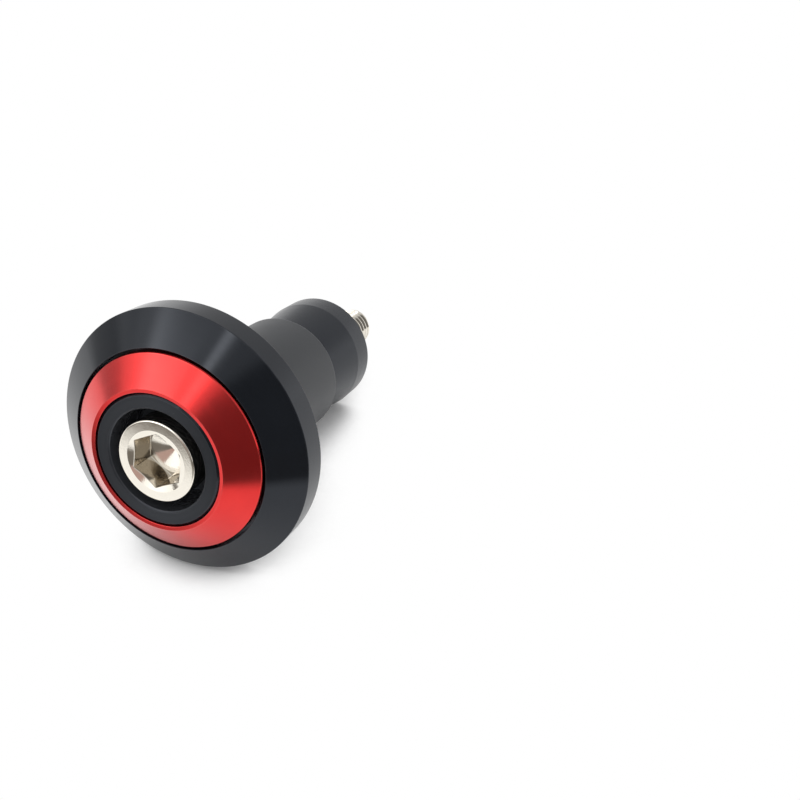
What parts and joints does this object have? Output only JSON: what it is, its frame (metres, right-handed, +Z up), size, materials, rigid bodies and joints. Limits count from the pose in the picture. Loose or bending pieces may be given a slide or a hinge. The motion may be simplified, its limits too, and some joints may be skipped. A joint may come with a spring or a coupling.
{
  "type": "bar end weight",
  "caption": "Round conical bar end weight with a red ring, a socket screw and a rubber bush that a wedge nut swells to grip the inside of a handlebar.",
  "frame": {"origin": "centre of the end cap's back face, where the end of the handlebar meets it", "axes": "+Y along the screw from the cap to the plug, the nose faces -Y, +Z up as on a level handlebar"},
  "size_m": [0.033, 0.056, 0.033],
  "materials": {
    "black_anodised": "satin",
    "red_anodised": "satin",
    "stainless_steel": "polished",
    "black_rubber": "matte"
  },
  "bodies": {
    "cap_and_bush": {"end_cap": "black_anodised", "accent_ring": "red_anodised", "expansion_bush": "black_rubber"},
    "screw": {"socket_screw": "stainless_steel"},
    "wedge": {"wedge_nut": "black_anodised"}
  },
  "joints": [
    {"name": "screw_turn", "type": "hinge", "parent": "cap_and_bush", "child": "screw", "pos_m": [0, 0, 0], "axis": [0, 1, 0], "range_deg": [0, 1080]},
    {"name": "wedge_draw", "type": "slide", "parent": "cap_and_bush", "child": "wedge", "axis": [0, -1, 0], "range_m": [0, 0.003], "deforming": ["expansion_bush"]}
  ],
  "couplings": [
    {"joint": "wedge_draw", "follows": "screw_turn", "m_per_rad": 0.00015915}
  ]
}
